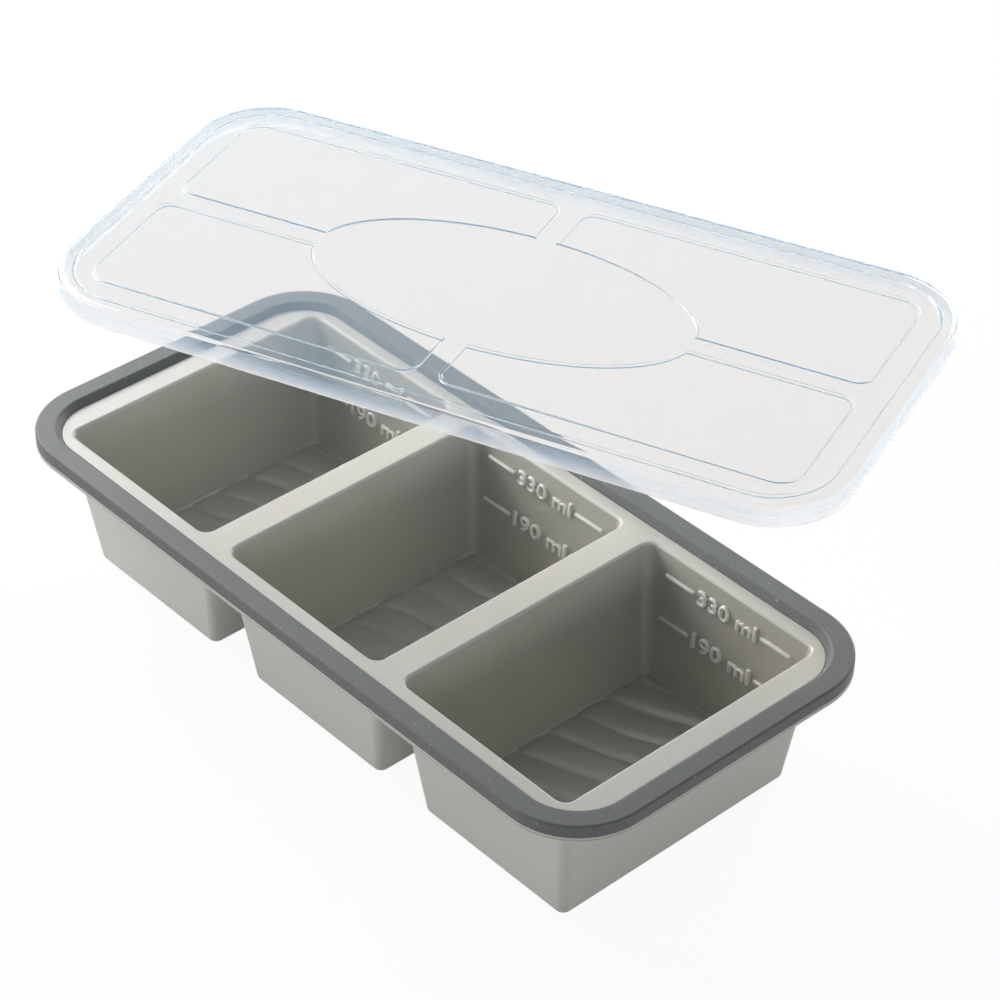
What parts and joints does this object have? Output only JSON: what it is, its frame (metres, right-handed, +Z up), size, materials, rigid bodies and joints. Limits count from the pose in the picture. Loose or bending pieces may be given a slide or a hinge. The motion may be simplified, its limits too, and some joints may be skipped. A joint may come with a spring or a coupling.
{
  "type": "baby food freezer tray",
  "caption": "Long soft silicone freezer tray with deep tapered cups, volume marks inside, a stiff grey frame ring and a clear rectangular lid lifted off.",
  "frame": {"origin": "centre of the middle cup's flat base, on the surface the tray stands on", "axes": "+Z up, +X along the row of cups, +Y towards the cup walls that carry the volume marks"},
  "size_m": [0.3508, 0.2547, 0.1183],
  "materials": {
    "silicone": "matt warm grey food-grade silicone",
    "rim": "satin slate grey, faintly speckled",
    "wire": "plain flat wire, hidden",
    "clear_lid": "clear, polished both sides"
  },
  "bodies": {
    "tray": {"silicone_tray": "silicone", "rim_frame": "rim", "rim_wire": "wire"},
    "lid": {"lid": "clear_lid"}
  },
  "joints": [
    {"name": "lid_lift", "type": "slide", "parent": "tray", "child": "lid", "axis": [0, 0, 1], "range_m": [0, 0.06]}
  ]
}
